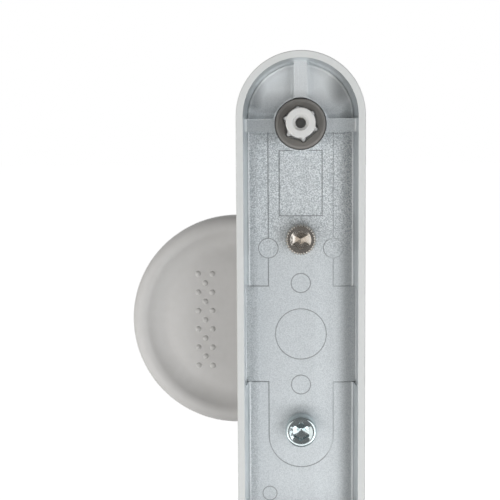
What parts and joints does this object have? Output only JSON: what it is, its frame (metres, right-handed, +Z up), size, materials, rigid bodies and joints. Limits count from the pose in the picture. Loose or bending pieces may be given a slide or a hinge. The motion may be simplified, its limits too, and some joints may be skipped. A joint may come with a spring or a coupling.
{
  "type": "door pull handle",
  "caption": "Door pull with a long hollow cast plate, a half round grip tongue standing off to one side, and sleeves for fixing from behind.",
  "frame": {"origin": "middle of the backplate on the door plane, half way between the two door fixings", "axes": "+Y points away from the door into the room, +Z is up, +X is right for someone who looks at the back of the plate; the tongue reaches to -X"},
  "size_m": [0.0793, 0.058, 0.179],
  "materials": {
    "coated_plate": "fine matt powder coat outside, bare blasted zinc casting inside the pocket",
    "coated_grip": "satin warm grey powder coat",
    "stainless_screw": "cold headed stainless steel, tumbled",
    "zinc_plated_screw": "bright zinc plate, blue passivated",
    "dark_collar": "moulded dark grey polyamide",
    "white_sleeve": "moulded natural polyamide"
  },
  "bodies": {
    "root": {"backplate": "coated_plate", "grip": "coated_grip", "upper_grip_screw": "stainless_screw", "lower_grip_screw": "zinc_plated_screw", "upper_collar": "dark_collar", "lower_collar": "dark_collar", "upper_sleeve": "white_sleeve", "lower_sleeve": "white_sleeve"}
  },
  "joints": []
}
